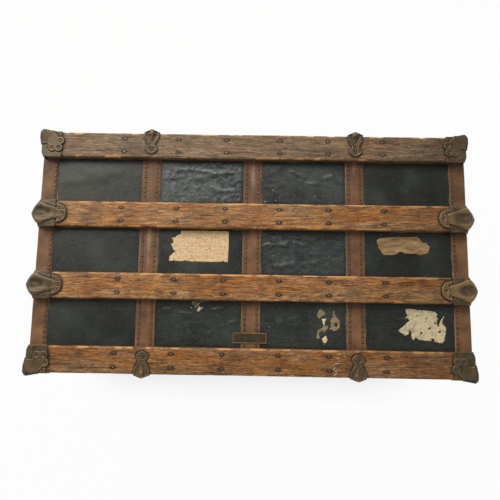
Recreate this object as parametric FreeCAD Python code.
import FreeCAD, Part
import math
import os

# Slatted flat-top travelling trunk: canvas over pine boards, oak slats, fibre bands and stamped fittings.
# Millimetres. +X runs along the trunk, the front looks along -Y, +Z is up.
# The origin is on the floor, under the middle of the trunk.

# Driving sizes of the box
trunk_length = 914.0          # over the end bindings
trunk_depth = 508.0           # over the edge slats
seam_height = 430.0           # floor to the joint between body and lid
lid_height = 125.0            # joint to the canvas of the top
seam_gap = 1.0
board = 10.0                  # side, end and lid boards
bottom_board = 12.0
canvas = 1.0
body_fingers = 9              # corner joints of the boards
lid_fingers = 3
fit = 0.4                     # ease around a strip that is let into wood

# Slats
slat_width = 54.4
slat_thickness = 17.0
slat_round = 3.5
slat_drop = 34.4              # slat round the body below a hanging catch lever
slat_rows = 4

# Fibre bands and bindings
band_width = 40.0
band_spacing = 219.0
band_thickness = 1.6
binding_width = 34.7
rim_width = 22.0
rim_thickness = 1.2

# Stamped fittings
gauge = 1.5
emboss = 1.3                  # raised layer on a stamped plate
corner_leg = 44.0
corner_lobe = 9.3
corner_lobe_margin = 19.4     # far lobes to the inner edge of the slat
corner_near = (41.0, 20.0)    # near lobe, from the end and from the outer edge
corner_far = (38.0, 24.0)     # far lobes, from the end
corner_scallop = 6.0          # round cut beside the near lobe
corner_arch = 7.0             # arched cut beside the far lobe
corner_arch_top = 18.0        # outer edge to the top of the arch
corner_knob = (6.5, 10.0, 7.0)
corner_taper = (32.0, 36.0, 40.0)
corner_round = 6.0
cap_sleeve = 41.0
cap_leg = 46.0
cap_fan = 21.0
cap_fan_reach = 65.0
cap_waist = 11.0
cap_nose = 16.0
cap_nose_round = 5.0
cap_crown = 7.0
cap_foot = 15.0
clamp_margin = 8.4            # fan of an edge clamp to the inner edge of the slat
clamp_fan = 13.0
clamp_fan_depth = 9.0
clamp_neck = 7.0
clamp_neck_length = 9.0
clamp_body = 16.7
clamp_boss = 9.5
clamp_boss_reach = 21.0
clamp_boss_sink = (1.0, 4.0)  # centre of the knob behind the side face and under the top face

# Lid hinges
hinge_spacing = 310.0
leaf_width = 60.0
leaf_height = 55.0
leaf_thickness = 2.0
leaf_round = 12.0
knuckle_radius = 4.5
knuckle_length = 22.0
knuckle_gap = 0.4
hinge_pin = 2.0
pin_ease = 0.05
running_gap = 0.3

# Lock, hasp and hook catches on the front
lock_width = 78.0
lock_height = 92.0
lock_base = 1.4
lock_case_width = 58.0
lock_case_height = 72.0
lock_depth = 9.4
lock_round = 12.0
lock_drop = 5.0               # top of the lock below the rim
keyhole = 3.0
keyhole_slit = 9.0
hasp_knuckle = 6.0
hasp_knuckle_length = 24.0
hasp_pin = 2.5
hasp_axis_rise = 11.0         # axis above the seam
hasp_leaf_width = 50.0
hasp_leaf_height = 44.0
hasp_thickness = 2.5
hasp_width = 38.0
hasp_length = 76.0
hasp_boss = 13.0
hasp_boss_height = 4.0
staple_drop = 46.0            # axis to the middle of the staple
staple_height = 16.0
staple_width = 5.0
staple_depth = 7.4
bolt_length = 18.0
bolt_height = 6.0
bolt_thickness = 2.5
bolt_travel = 12.0
bolt_ease = 0.4
slot_ease = 1.0
catch_pivot_drop = 58.0       # pivot below the seam
catch_plate_width = 36.0
catch_plate_rise = 30.0
catch_plate_fall = 16.0
catch_eye = 5.0
catch_pin = 2.2
catch_arm_width = 20.0
catch_arm_thickness = 3.0
catch_ear = 3.0
catch_lip = 3.0
catch_lip_reach = 3.2
keeper_rise = 14.0            # seam to the top of the keeper lug
keeper_height = 32.0
keeper_width = 30.0
lug_width = 16.0
lug_height = 6.0

# Leather end handles
handle_width = 28.0
handle_foot = 34.0
handle_foot_thickness = 5.0
handle_gap = 168.0
handle_rise = 26.0
handle_grip = 10.0
handle_cap_wall = 2.0
handle_cap_margin = 6.0

# Lift-out tray
lip_thickness = 5.0
lip_depth = 30.0
lip_rise = 12.0
lip_ease = 1.0
tray_ease = 3.0
tray_height = 94.0
tray_drop = 4.0               # tray top below the rim
tray_board = 7.0
tray_bottom_board = 5.0
tray_grip = 34.0
tray_divider_place = 150.0
cleat = 18.0
cleat_inset = 26.0            # ends of a cleat short of the front and back boards

# Levels and planes that follow from the driving sizes
z_skin = slat_thickness
z_bottom = z_skin + canvas
z_wall = z_bottom + bottom_board
z_rim = seam_height - seam_gap / 2
z_lid = seam_height + seam_gap / 2
z_panel = seam_height + lid_height
z_lid_board = z_panel - canvas
z_top = z_panel + slat_thickness
x_end = trunk_length / 2
x_skin = x_end - band_thickness
x_wall = x_skin - canvas
x_room = x_wall - board
y_face = trunk_depth / 2
y_skin = y_face - slat_thickness
y_wall = y_skin - canvas
y_room = y_wall - board
y_band = y_skin + band_thickness
x_slat = x_skin + slat_thickness
edge_row = y_face - slat_width / 2
slat_pitch = 2 * edge_row / (slat_rows - 1)
band_places = (-band_spacing, 0.0, band_spacing)
lug_top = seam_height + keeper_rise
catch_pivot_z = seam_height - catch_pivot_drop
catch_reach = lug_top + fit + catch_lip - catch_pivot_z
mid_slat_z = catch_pivot_z - catch_reach - slat_drop - slat_width / 2
handle_z = (mid_slat_z + slat_width / 2 + z_rim - rim_width) / 2
nodes = {}


def vec(x, y, z=0.0):
    return FreeCAD.Vector(x, y, z)


def box(x0, x1, y0, y1, z0, z1):
    return Part.makeBox(x1 - x0, y1 - y0, z1 - z0, vec(x0, y0, z0))


def rod(radius, start, along):
    return Part.makeCylinder(radius, along.Length, start, along)


def face(stretches):
    """Closed face in XY. Each stretch is a start point, with the middle point of an arc where it is round."""
    edges = []
    for here, following in zip(stretches, stretches[1:] + stretches[:1]):
        start = vec(*here[0])
        end = vec(*following[0])
        if len(here) == 2:
            edges.append(Part.Arc(start, vec(*here[1]), end).toShape())
        else:
            edges.append(Part.LineSegment(start, end).toShape())
    return Part.Face(Part.Wire(edges))


def plate(stretches, thickness, level=0.0):
    solid = face(stretches).extrude(vec(0, 0, thickness))
    solid.translate(vec(0, 0, level))
    return solid


def moved(shape, x=0.0, y=0.0, z=0.0):
    copy = shape.copy()
    copy.translate(vec(x, y, z))
    return copy


def turned(shape, axis, degrees):
    copy = shape.copy()
    copy.rotate(vec(0, 0, 0), axis, degrees)
    return copy


def flipped(shape, axis):
    return shape.mirror(vec(0, 0, 0), axis)


def joined(first, *others):
    return first.fuse(list(others)).removeSplitter()


def rounded(solid, radius, test):
    """Fillet of the edges that the test picks."""
    return solid.makeFillet(radius, [edge for edge in solid.Edges if test(edge)])


def keep(name, *solids):
    shape = solids[0] if len(solids) == 1 else Part.makeCompound(list(solids))
    nodes[name] = shape


def four_corners(shape):
    """Copies of a shape made for the +X +Y corner, with the words that name each place."""
    right = {"back_right": shape, "front_right": flipped(shape, vec(0, 1, 0))}
    copies = dict(right)
    for name, solid in right.items():
        copies[name.replace("right", "left")] = flipped(solid, vec(1, 0, 0))
    return copies


# Boards with box joints at the corners

def fingers(z0, z1, count, first):
    """Boxes at the four upright corners, at every second finger."""
    pitch = (z1 - z0) / count
    cuts = []
    for step in range(first, count, 2):
        corner = box(x_room, x_wall, y_room, y_wall, z0 + step * pitch, z0 + (step + 1) * pitch)
        cuts.extend(four_corners(corner).values())
    return cuts


def board_ring(z0, z1, count):
    """Front, back, left and right boards between two levels."""
    own = fingers(z0, z1, count, 1)
    other = fingers(z0, z1, count, 0)
    long_board = box(-x_wall, x_wall, y_room, y_wall, z0, z1)
    short_board = box(x_room, x_wall, -y_wall, y_wall, z0, z1)
    back = long_board.cut(own)
    right = short_board.cut(other)
    return {"front": flipped(back, vec(0, 1, 0)), "back": back,
            "left": flipped(right, vec(1, 0, 0)), "right": right}


def make_boards():
    for side, solid in board_ring(z_wall, z_rim, body_fingers).items():
        keep("body_%s_board" % side, solid)
    keep("bottom_board", box(-x_wall, x_wall, -y_wall, y_wall, z_bottom, z_wall))
    for side, solid in board_ring(z_lid, z_lid_board - board, lid_fingers).items():
        keep("lid_%s_board" % side, solid)
    keep("lid_top_board", box(-x_wall, x_wall, -y_wall, y_wall, z_lid_board - board, z_lid_board))


def make_canvas():
    outer = box(-x_skin, x_skin, -y_skin, y_skin, z_skin, z_rim)
    keep("body_canvas", outer.cut(box(-x_wall, x_wall, -y_wall, y_wall, z_bottom, z_rim)))
    outer = box(-x_skin, x_skin, -y_skin, y_skin, z_lid, z_panel)
    keep("lid_canvas", outer.cut(box(-x_wall, x_wall, -y_wall, y_wall, z_lid, z_lid_board)))


# Fibre bands and bindings lie on the canvas, under the slats

def lid_band(place, ease=0.0):
    x0 = place - band_width / 2 - ease
    x1 = place + band_width / 2 + ease
    wrap = box(x0, x1, -y_band, y_band, z_lid + rim_width, z_panel + band_thickness)
    return wrap.cut(box(x0, x1, -y_skin, y_skin, z_lid, z_panel))


def body_band(place, ease=0.0):
    x0 = place - band_width / 2 - ease
    x1 = place + band_width / 2 + ease
    wrap = box(x0, x1, -y_band, y_band, z_skin - band_thickness, z_rim - rim_width)
    return wrap.cut(box(x0, x1, -y_skin, y_skin, z_skin, z_rim))


def end_binding(level, up, ease=0.0):
    """Right end: an angle strip round the edge between the end and the canvas at this level."""
    reach = level - up * binding_width
    inner = box(x_end - binding_width, x_skin, -y_skin, y_skin, min(level, reach), max(level, reach))
    outside = level + up * band_thickness
    start = x_end - binding_width - ease
    strip = box(start, x_end, -y_skin, y_skin, min(outside, reach), max(outside, reach))
    return strip.cut(inner)


def corner_binding(z0, z1, ease=0.0):
    """Back right: an upright angle strip."""
    strip = box(x_end - binding_width - ease, x_end, y_band - binding_width - ease, y_band, z0, z1)
    return strip.cut(box(0, x_skin, 0, y_skin, z0, z1))


def rim_strips(z0, z1):
    """Flat strips along one edge of the seam, cut away for the hinge leaves."""
    x1 = x_end - binding_width
    y1 = y_band - binding_width
    back = box(-x1, x1, y_skin, y_skin + rim_thickness, z0, z1)
    right = box(x_skin, x_skin + rim_thickness, -y1, y1, z0, z1)
    front = flipped(back, vec(0, 1, 0))
    leaves = []
    for place in (-hinge_spacing, hinge_spacing):
        half = leaf_width / 2 + running_gap + fit
        leaves.append(box(place - half, place + half, y_skin, y_face, z0, z1))
    return [front, right, flipped(right, vec(1, 0, 0))] + back.cut(leaves).Solids


def make_bands():
    keep("body_bands", *[body_band(place) for place in band_places])
    keep("lid_bands", *[lid_band(place) for place in band_places])
    top = end_binding(z_panel, 1)
    keep("lid_end_bindings", top, flipped(top, vec(1, 0, 0)))
    low = end_binding(z_skin, -1)
    keep("body_end_bindings", low, flipped(low, vec(1, 0, 0)))
    keep("body_corner_bindings", *four_corners(corner_binding(z_skin + slat_width, z_rim)).values())
    keep("lid_corner_bindings", *four_corners(corner_binding(z_lid, z_panel - slat_width)).values())
    keep("body_rim_strips", *rim_strips(z_rim - rim_width, z_rim))
    keep("lid_rim_strips", *rim_strips(z_lid, z_lid + rim_width))


# Slats are notched over the bands and bindings that they cross

def slat(length, soft=(-1, 1)):
    """Bar along X, its middle at the origin, lying on z = 0, with its chosen long top edges eased."""
    half = slat_width / 2
    bar = box(-length / 2, length / 2, -half, half, 0, slat_thickness)

    def eased(edge):
        middle = edge.CenterOfMass
        top = abs(middle.z - slat_thickness) < 1e-6
        return top and abs(middle.x) < 1e-6 and any(abs(middle.y - side * half) < 1e-6 for side in soft)

    return rounded(bar, slat_round, eased)


def band_notches():
    bands = [lid_band(place, fit) for place in band_places]
    bands += [body_band(place, fit) for place in band_places]
    top = end_binding(z_panel, 1, fit)
    low = end_binding(z_skin, -1, fit)
    return bands + [top, flipped(top, vec(1, 0, 0)), low, flipped(low, vec(1, 0, 0))]


def make_slats():
    notches = band_notches()
    upright_strip = corner_binding(z_skin + slat_width, z_rim, fit)
    corner_notches = list(four_corners(upright_strip).values())
    long_slat = slat(trunk_length)
    names = ("front", "mid_front", "mid_back", "back")
    runners = []
    for row, name in enumerate(names):
        place = row * slat_pitch - edge_row
        keep("top_slat_" + name, moved(long_slat, 0, place, z_panel).cut(notches))
        runner = moved(turned(long_slat, vec(1, 0, 0), 180), 0, place, z_skin)
        runners.append(runner.cut(notches))
    keep("bottom_runners", *runners)

    rim_slat = turned(slat(trunk_length, (-1,)), vec(1, 0, 0), 90)
    rim_slat = moved(rim_slat, 0, -y_skin, z_panel - slat_width / 2).cut(notches)
    keep("lid_front_slat", rim_slat)
    keep("lid_back_slat", flipped(rim_slat, vec(0, 1, 0)))

    upright_slat = turned(long_slat, vec(1, 0, 0), 90)
    low = moved(turned(slat(trunk_length, (1,)), vec(1, 0, 0), 90), 0, -y_skin, z_skin + slat_width / 2)
    middle = moved(upright_slat, 0, -y_skin, mid_slat_z)
    front = [solid.cut(notches + corner_notches) for solid in (low, middle)]
    keep("body_front_slats", *front)
    keep("body_back_slats", *[flipped(solid, vec(0, 1, 0)) for solid in front])

    end = turned(turned(slat(trunk_depth), vec(1, 0, 0), 90), vec(0, 0, 1), 90)
    end = moved(end, x_skin, 0, mid_slat_z)
    half = slat_width / 2
    past = y_band - binding_width - fit
    step = box(x_skin, x_end, past, y_face, mid_slat_z - half, mid_slat_z + half)
    end = end.cut([step, flipped(step, vec(0, 1, 0))])
    keep("body_end_slats", end, flipped(end, vec(1, 0, 0)))


# Stamped corner bumper: three lobed plates that swell into one knob.
# Local frame: the wood fills x, y, z below 0, and the corner is at the origin.

def lobed_plate(level):
    """Plate in XY with three lobes away from the corner at the origin."""
    far_edge = slat_width - corner_lobe_margin
    near = (-corner_near[0], -corner_near[1])
    middle = (-corner_far[0], -far_edge)
    far = (-corner_far[1], -far_edge)
    lobes = [rod(corner_lobe, vec(x, y, level), vec(0, 0, emboss)) for x, y in (near, middle, far)]
    outer = gauge + emboss
    web = [((outer, outer),), ((near[0] + corner_lobe, outer),), (near,), (middle,), (far,),
           ((outer, far[1] + corner_lobe),)]
    scallop = rod(corner_scallop, vec(near[0] + corner_scallop, 0, level), vec(0, 0, emboss))
    arch_x = far[0] + corner_lobe + corner_arch
    arch_y = -corner_arch_top - corner_arch
    arch = rod(corner_arch, vec(arch_x, arch_y, level), vec(0, 0, emboss))
    below = box(arch_x - corner_arch, arch_x + corner_arch, -slat_width, arch_y, level, level + emboss)
    return joined(plate(web, emboss, level).cut([scallop, arch, below]), *lobes)


def corner_bumper():
    cycle = vec(1, 1, 1)
    leg = box(-corner_leg, gauge, -corner_leg, gauge, 0, gauge)
    legs = [turned(leg, cycle, 120), turned(leg, cycle, 240)]
    edge = -slat_width - gauge
    sleeve = box(-corner_leg, gauge, edge, gauge, 0, gauge)
    sleeve_side = box(-corner_leg, gauge, edge, -slat_width, band_thickness + fit - slat_thickness, gauge)
    sleeve_end = box(0, gauge, edge, gauge, -corner_leg, gauge)
    lobed = lobed_plate(gauge)
    faces = [lobed, turned(lobed, cycle, 120), turned(lobed, cycle, 240)]
    body = joined(sleeve, sleeve_side, sleeve_end, *legs, *faces)

    knob = vec(*corner_knob)
    skin = gauge + emboss
    along, across, down = corner_taper
    ends = [vec(-along, skin, skin), vec(skin, -across, skin), vec(skin, skin, -down)]
    ways = [end - knob for end in ends]
    ring = [knob, knob + ways[0], knob + ways[0] + ways[1], knob + ways[1], knob]
    swell = Part.Face(Part.makePolygon(ring)).extrude(ways[2])

    def at_knob(edge):
        return any((vertex.Point - knob).Length < 1e-6 for vertex in edge.Vertexes)

    swell = rounded(swell, corner_round, at_knob)
    room = corner_leg - gauge
    swell = swell.common(box(-room, room, -room, room, -room, room))
    wood = box(-trunk_depth, 0, -trunk_depth, 0, -trunk_depth, 0)
    return body.fuse(swell).cut(wood).removeSplitter()


# Stamped cap on the end of a slat: a sleeve, a fan on the slat and a prow over the end of the trunk.
# Local frame: the slat lies along -X with its top at z = 0, and the end of the trunk is at x = 0.

def prow_section(level, shoulder, nose):
    """Pointed outline at one level: waist, shoulders and a rounded nose."""
    inner = -cap_fan_reach + cap_fan
    tip = cap_nose_round
    slope = math.atan2(nose, shoulder)
    side = (nose - tip + tip * math.cos(slope), tip * math.sin(slope))
    hollow = (inner / 2, (cap_waist + shoulder) / 2 - emboss)
    outline = [((inner, -cap_waist), (hollow[0], -hollow[1])), ((0, -shoulder),),
               ((side[0], -side[1]), (nose, 0)), (side,), ((0, shoulder), hollow), ((inner, cap_waist),)]
    wire = face(outline).OuterWire
    wire.translate(vec(0, 0, level))
    return wire


def crown_section(x, half, side, crown):
    """Arched outline across the cap at one place along it."""
    low = -cap_leg - gauge
    foot = Part.makePolygon([vec(x, -half, side), vec(x, -half, low), vec(x, half, low), vec(x, half, side)])
    arch = Part.Arc(vec(x, half, side), vec(x, 0, crown), vec(x, -half, side)).toShape()
    return Part.Wire(foot.Edges + [arch])


def slat_cap():
    half = slat_width / 2 + gauge
    inner = -cap_fan_reach + cap_fan
    skin = gauge + emboss
    sleeve = box(-cap_sleeve, gauge, -half, half, band_thickness + fit - slat_thickness, gauge)
    leg = box(0, gauge, -half, half, -cap_leg, gauge)
    shoulder = inner - gauge - emboss
    fan = plate([((inner, -cap_waist),), ((shoulder, -cap_fan), (-cap_fan_reach, 0)), ((shoulder, cap_fan),),
                 ((inner, cap_waist),)], skin)
    prow = Part.makeLoft([prow_section(-cap_leg, cap_foot, gauge + emboss + cap_nose_round),
                          prow_section(-slat_thickness, half, cap_nose),
                          prow_section(cap_crown, half, cap_nose)], True, True)
    crown = Part.makeLoft([crown_section(inner, half, gauge, skin), crown_section(0, half, gauge, cap_crown),
                           crown_section(cap_nose, half, -slat_thickness, -slat_thickness / 2)], True, True)
    prow = prow.common(crown)
    slat_end = box(-trunk_length, 0, -slat_width / 2, slat_width / 2, -slat_thickness, 0)
    trunk_end = box(-trunk_length, 0, -trunk_depth, trunk_depth, -trunk_depth, -slat_thickness)
    below = box(-trunk_length, 0, -half, half, -trunk_depth, band_thickness + fit - slat_thickness)
    return joined(sleeve, leg, fan, prow).cut([slat_end, trunk_end, below]).removeSplitter()


# Clamp folded over an edge. Local frame: the wood fills y and z below 0, and the edge runs along X.

def clamp_leaf():
    """Bottle outline in XY: a body at the edge, a neck and a fan away from it."""
    end = -(slat_width - clamp_margin)
    cusp = end + clamp_fan_depth
    neck = cusp + clamp_neck_length
    bulge = ((clamp_body + clamp_neck) / 2 + gauge, neck / 2)
    outline = [((-clamp_body, gauge),), ((-clamp_body, -gauge), (-bulge[0], bulge[1])),
               ((-clamp_neck, neck),), ((-clamp_fan, cusp), (0, end)), ((clamp_fan, cusp),),
               ((clamp_neck, neck), bulge), ((clamp_body, -gauge),), ((clamp_body, gauge),)]
    return plate(outline, gauge)


def edge_clamp():
    top = clamp_leaf()
    side = top.mirror(vec(0, 0, 0), vec(0, 1, -1))
    centre = vec(0, -clamp_boss_sink[0], -clamp_boss_sink[1])
    knob = Part.makeSphere(clamp_boss, centre)
    along = vec(0, -clamp_boss_reach, 0) - centre
    down = vec(0, 0, -clamp_boss_reach) - centre
    tail = Part.makeCone(clamp_boss, gauge, along.Length, centre, along)
    drop = Part.makeCone(clamp_boss, gauge, down.Length, centre, down)
    wood = box(-trunk_length, trunk_length, -trunk_depth, 0, -trunk_depth, 0)
    return joined(top, side, knob, tail, drop).cut(wood).removeSplitter()


def make_fittings():
    bumper = corner_bumper()
    bumpers = four_corners(moved(bumper, x_end, y_face, z_top))
    for side in ("front", "back"):
        keep("corner_bumpers_" + side, bumpers[side + "_left"], bumpers[side + "_right"])
    below_floor = box(-trunk_length, trunk_length, -trunk_length, trunk_length, -trunk_length, 0)
    low = moved(flipped(bumper, vec(0, 0, 1)), x_end, y_face, 0).cut(below_floor)
    keep("bottom_corner_bumpers", *four_corners(low).values())

    cap = slat_cap()
    row = slat_pitch / 2
    keep("slat_caps", *four_corners(moved(cap, x_end, row, z_top)).values())
    shoe = moved(flipped(cap, vec(0, 0, 1)), x_end, row, 0).cut(below_floor)
    keep("runner_shoes", *four_corners(shoe).values())

    clamp = edge_clamp()
    keep("edge_clamps", *four_corners(moved(clamp, band_spacing, y_face, z_top)).values())
    upright_clamp = turned(clamp, vec(0, 1, 0), 90)
    keep("body_slat_clamps", *four_corners(moved(upright_clamp, x_slat, y_face, mid_slat_z)).values())


# Lid hinges at the back

def leaf_blank(width, height, thickness, corner):
    """Upright plate in XZ standing on z = 0, with its two upper corners rounded, facing +Y."""
    solid = box(-width / 2, width / 2, 0, thickness, 0, height)

    def top_corner(edge):
        middle = edge.CenterOfMass
        return abs(middle.z - height) < 1e-6 and abs(abs(middle.x) - width / 2) < 1e-6

    return rounded(solid, corner, top_corner)


def make_hinges():
    axis = vec(0, y_skin + running_gap + knuckle_radius, seam_height)
    half = leaf_width / 2
    inner = knuckle_length / 2
    past = inner + knuckle_gap
    across = vec(1, 0, 0)
    leaf = moved(leaf_blank(leaf_width, leaf_height, leaf_thickness, leaf_round), 0, y_skin, z_lid)
    notch_top = seam_height + knuckle_radius + knuckle_gap
    notches = [box(past - knuckle_gap, half, y_skin, y_face, z_lid, notch_top)]
    notches.append(flipped(notches[0], across))
    barrel = rod(knuckle_radius, axis - across * inner, across * knuckle_length)
    bore = rod(hinge_pin + pin_ease, axis - across * leaf_width, across * (2 * leaf_width))
    lid_leaf = joined(leaf.cut(notches), barrel).cut(bore)

    low_leaf = moved(flipped(leaf, vec(0, 0, 1)), 0, 0, 2 * seam_height)
    low_notch = box(-past, past, y_skin, y_face, seam_height - knuckle_radius - knuckle_gap, seam_height)
    ends = [rod(knuckle_radius, axis + across * start, across * (half - past)) for start in (-half, past)]
    body_leaf = joined(low_leaf.cut(low_notch), *ends).cut(bore)
    pin = rod(hinge_pin, axis - across * half, across * leaf_width)

    places = (-hinge_spacing, hinge_spacing)
    keep("hinge_lid_leaves", *[moved(lid_leaf, place) for place in places])
    keep("hinge_body_leaves", *[moved(body_leaf, place) for place in places])
    keep("hinge_pins", *[moved(pin, place) for place in places])


# Lock case and hasp. The front looks along -Y, so depth is counted outwards from the centre band.

def front_box(x0, x1, depth0, depth1, z0, z1):
    return box(x0, x1, -y_band - depth1, -y_band - depth0, z0, z1)


def front_plate(stretches, depth0, depth1):
    """Outline in XZ, given as points (x, z), made solid between two depths."""
    solid = plate(stretches, depth1 - depth0, depth0)
    return moved(turned(solid, vec(1, 0, 0), 90), 0, -y_band)


def round_plate(width, z0, z1, corner, depth0, depth1):
    solid = front_box(-width / 2, width / 2, depth0, depth1, z0, z1)

    def across(edge):
        ends = [vertex.Point for vertex in edge.Vertexes]
        return abs(ends[0].x - ends[1].x) + abs(ends[0].z - ends[1].z) < 1e-6

    return rounded(solid, corner, across)


hasp_axis_z = seam_height + hasp_axis_rise
hasp_axis_depth = running_gap + hasp_knuckle
hasp_outside = hasp_axis_depth + hasp_knuckle
hasp_inside = hasp_outside - hasp_thickness
staple_z = hasp_axis_z - staple_drop
staple_tip = hasp_inside - staple_depth
bolt_depth = staple_tip + staple_depth / 2 - bolt_thickness / 2
bolt_room = (bolt_depth - bolt_ease, bolt_depth + bolt_thickness + bolt_ease)
slot_half = staple_width / 2 + slot_ease
lock_top = z_rim - lock_drop


def make_lock():
    base = round_plate(lock_width, lock_top - lock_height, lock_top, lock_round, 0, lock_base)
    case_bottom = lock_top - (lock_height + lock_case_height) / 2
    case_top = case_bottom + lock_case_height
    case = round_plate(lock_case_width, case_bottom, case_top, lock_round, lock_base, lock_depth)

    def front_edge(edge):
        return abs(edge.BoundBox.YMin + y_band + lock_depth) < 1e-6 and abs(edge.BoundBox.YLength) < 1e-6

    case = rounded(case, 2 * gauge, front_edge)
    slot = front_box(-slot_half, slot_half, staple_tip - slot_ease, lock_depth,
                     staple_z - staple_height / 2 - slot_ease, lock_top)
    room = bolt_height / 2 + bolt_ease
    channel_start = -slot_half - bolt_length - 2 * bolt_ease
    channel_end = channel_start + bolt_length + bolt_travel + 2 * bolt_ease
    channel = front_box(channel_start, channel_end, *bolt_room, staple_z - room, staple_z + room)
    key_z = hasp_axis_z - hasp_length - keyhole_slit / 2 - keyhole
    hole = rod(keyhole, vec(0, -y_band - lock_base, key_z), vec(0, -lock_depth, 0))
    slit = front_box(-keyhole / 2, keyhole / 2, lock_base, lock_depth, key_z - keyhole_slit, key_z)
    keep("lock_case", joined(base, case).cut([slot, channel, hole, slit]))
    bolt_start = channel_start + bolt_ease
    keep("lock_bolt", front_box(bolt_start, bolt_start + bolt_length, bolt_depth, bolt_depth + bolt_thickness,
                                staple_z - bolt_height / 2, staple_z + bolt_height / 2))


def make_hasp():
    axis = vec(0, -y_band - hasp_axis_depth, hasp_axis_z)
    across = vec(1, 0, 0)
    half = hasp_leaf_width / 2
    inner = hasp_knuckle_length / 2
    past = inner + knuckle_gap
    leaf = leaf_blank(hasp_leaf_width, hasp_leaf_height, leaf_thickness, leaf_round)
    leaf = moved(flipped(leaf, vec(0, 1, 0)), 0, -y_band, hasp_axis_z)
    notch = front_box(-past, past, 0, hasp_outside, hasp_axis_z, hasp_axis_z + hasp_knuckle + knuckle_gap)
    ends = [rod(hasp_knuckle, axis + across * start, across * (half - past)) for start in (-half, past)]
    bore = rod(hasp_pin + pin_ease, axis - across * half, across * hasp_leaf_width)
    keep("hasp_leaf", joined(leaf.cut(notch), *ends).cut(bore))
    keep("hasp_pin", rod(hasp_pin, axis - across * half, across * hasp_leaf_width))

    low = hasp_axis_z - hasp_length
    wide = hasp_width / 2
    shoulder = hasp_axis_z - 2 * hasp_knuckle
    flare = shoulder - 2 * hasp_knuckle
    tongue = front_plate([((-inner, hasp_axis_z),), ((-inner, shoulder),), ((-wide, flare),),
                          ((-wide, low + wide), (0, low)), ((wide, low + wide),), ((wide, flare),),
                          ((inner, shoulder),), ((inner, hasp_axis_z),)], hasp_inside, hasp_outside)
    barrel = rod(hasp_knuckle, axis - across * inner, across * hasp_knuckle_length)
    dome_radius = (hasp_boss ** 2 + hasp_boss_height ** 2) / (2 * hasp_boss_height)
    boss_z = low + wide + hasp_boss / 2
    outside = -y_band - hasp_outside
    dome = Part.makeSphere(dome_radius, vec(0, outside - hasp_boss_height + dome_radius, boss_z))
    dome = dome.common(rod(hasp_boss, vec(0, outside, boss_z), vec(0, -hasp_boss, 0)))
    keep("hasp", joined(tongue, barrel, dome).cut(bore))

    staple = front_box(-staple_width / 2, staple_width / 2, staple_tip, hasp_inside,
                       staple_z - staple_height / 2, staple_z + staple_height / 2)
    room = bolt_height / 2 + bolt_ease
    eye = front_box(-staple_width, staple_width, *bolt_room, staple_z - room, staple_z + room)
    keep("hasp_staple", staple.cut(eye))


# Hook catches on the side bands: a lever that hangs free, and swings up over a lug on the lid

catch_pivot_depth = gauge + running_gap + catch_eye
catch_inside = catch_pivot_depth - catch_arm_thickness / 2
catch_outside = catch_pivot_depth + catch_arm_thickness / 2


def make_catches():
    axis = vec(0, -y_band - catch_pivot_depth, catch_pivot_z)
    across = vec(1, 0, 0)
    arm = catch_arm_width / 2
    ear_in = arm + knuckle_gap
    ear_out = ear_in + catch_ear
    base = round_plate(catch_plate_width, catch_pivot_z - catch_plate_fall, catch_pivot_z + catch_plate_rise,
                       catch_plate_fall / 2, 0, gauge)
    ears = []
    for start in (-ear_out, ear_in):
        cheek = rod(catch_eye, axis + across * start, across * catch_ear)
        root = front_box(start, start + catch_ear, gauge, catch_pivot_depth, catch_pivot_z - catch_eye,
                         catch_pivot_z + catch_eye)
        ears += [cheek, root]
    hole = rod(catch_pin + pin_ease, axis - across * ear_out, across * (2 * ear_out))
    catch_plate = joined(base, *ears).cut(hole)
    pin = rod(catch_pin, axis - across * ear_out, across * (2 * ear_out))

    eye = rod(catch_eye - fit, axis - across * arm, across * catch_arm_width)
    low = catch_pivot_z - catch_reach
    blade = front_box(-arm, arm, catch_inside, catch_outside, low, catch_pivot_z)
    lip = front_box(-lug_width / 2, lug_width / 2, catch_outside, catch_outside + catch_lip_reach,
                    low, low + catch_lip)
    lever = joined(blade, eye, lip).cut(hole)

    keeper_low = seam_height + lug_height
    keeper = round_plate(keeper_width, keeper_low, keeper_low + keeper_height, leaf_round / 2, 0, gauge)
    lug = front_box(-lug_width / 2, lug_width / 2, gauge, catch_inside - fit, lug_top - lug_height, lug_top)
    keeper = joined(keeper, lug)

    places = {"left": -band_spacing, "right": band_spacing}
    keep("catch_plates", *[moved(catch_plate, place) for place in places.values()])
    keep("catch_pins", *[moved(pin, place) for place in places.values()])
    keep("catch_keepers", *[moved(keeper, place) for place in places.values()])
    for name, place in places.items():
        keep("catch_lever_" + name, moved(lever, place))


# Leather handles on the ends, held by stamped caps

def make_handles():
    gap = handle_gap / 2
    out = gap + handle_foot
    heel = gap + handle_foot_thickness
    grip = handle_rise + handle_grip
    thick = handle_foot_thickness
    outline = [((0, -out),), ((0, -gap), (handle_rise, 0)), ((0, gap),), ((0, out),), ((thick, out),),
               ((thick, heel), (grip, 0)), ((thick, -heel),), ((thick, -out),)]
    strap = plate(outline, handle_width, handle_z - handle_width / 2)
    strap = moved(strap, x_skin)
    keep("handle_right", strap)
    keep("handle_left", flipped(strap, vec(1, 0, 0)))

    half = handle_width / 2 + handle_cap_margin
    near = heel + handle_foot_thickness
    depth = handle_foot_thickness + fit + handle_cap_wall
    cap_face = face([((near, -half),), ((out, -half), (out + half, 0)), ((out, half),), ((near, half),)])
    cap = turned(turned(cap_face.extrude(vec(0, 0, depth)), vec(0, 0, 1), 90), vec(0, 1, 0), 90)
    cap = moved(cap, x_skin, 0, handle_z)
    pocket = box(x_skin, x_skin + handle_foot_thickness + fit, near, out + fit,
                 handle_z - handle_width / 2 - fit, handle_z + handle_width / 2 + fit)
    cap = cap.cut(pocket)
    keep("handle_caps", *four_corners(cap).values())


# Inside: a lip that guides the lid, cleats, and a tray that lifts out

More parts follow.
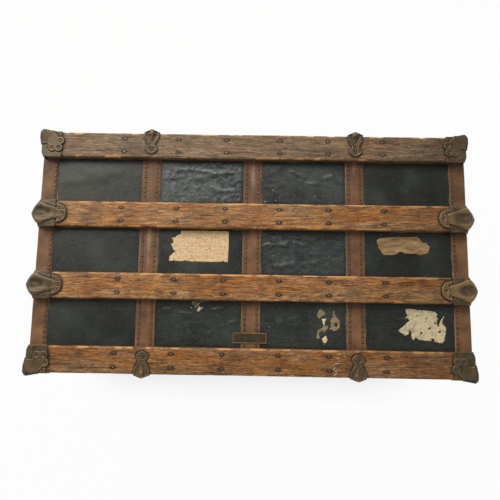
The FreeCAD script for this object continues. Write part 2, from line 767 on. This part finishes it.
def make_inside():
    y1 = y_room - lip_thickness
    x1 = x_room - lip_thickness
    z0 = z_rim - lip_depth
    z1 = z_rim + lip_rise
    back = box(-x_room, x_room, y1, y_room, z0, z1)
    back = back.cut(box(-x_room, x_room, y_room - lip_ease, y_room, z_rim, z1))
    right = box(x1, x_room, -y1, y1, z0, z1).cut(box(x_room - lip_ease, x_room, -y1, y1, z_rim, z1))
    for end in (-1, 1):
        x0 = min(end * x_room, end * (x_room - lip_ease))
        back = back.cut(box(x0, x0 + lip_ease, y1, y_room, z_rim, z1))
    keep("dust_lip", back, flipped(back, vec(0, 1, 0)), right, flipped(right, vec(1, 0, 0)))

    tray_top = z_rim - tray_drop
    tray_z = tray_top - tray_height
    x_tray = x1 - tray_ease
    y_tray = y1 - tray_ease
    cleat_end = y_room - cleat_inset
    strip = box(x_room - cleat, x_room, -cleat_end, cleat_end, tray_z - cleat, tray_z)
    keep("tray_cleats", strip, flipped(strip, vec(1, 0, 0)))

    floor = tray_z + tray_bottom_board
    keep("tray_bottom", box(-x_tray, x_tray, -y_tray, y_tray, tray_z, floor))
    wall = box(-x_tray, x_tray, y_tray - tray_board, y_tray, floor, tray_top)
    keep("tray_sides", wall, flipped(wall, vec(0, 1, 0)))
    side = box(x_tray - tray_board, x_tray, tray_board - y_tray, y_tray - tray_board, floor, tray_top)
    grip = rod(tray_grip, vec(x_tray - 2 * tray_board, 0, tray_top), vec(4 * tray_board, 0, 0))
    side = side.cut(grip)
    keep("tray_ends", side, flipped(side, vec(1, 0, 0)))
    half = tray_board / 2
    keep("tray_divider", box(tray_divider_place - half, tray_divider_place + half,
                             tray_board - y_tray, y_tray - tray_board, floor, tray_top))


make_boards()
make_canvas()
make_bands()
make_slats()
make_fittings()
make_hinges()
make_lock()
make_hasp()
make_catches()
make_handles()
make_inside()

os.makedirs("parts", exist_ok=True)
for name, shape in nodes.items():
    shape.exportStep("parts/%s.step" % name)
    faces = len(shape.Faces)
    print("%-28s %2d solids %4d faces %9.1f cm3 %s" % (name, len(shape.Solids), faces, shape.Volume / 1000,
                                                       shape.isValid()))
print(len(nodes), "nodes")
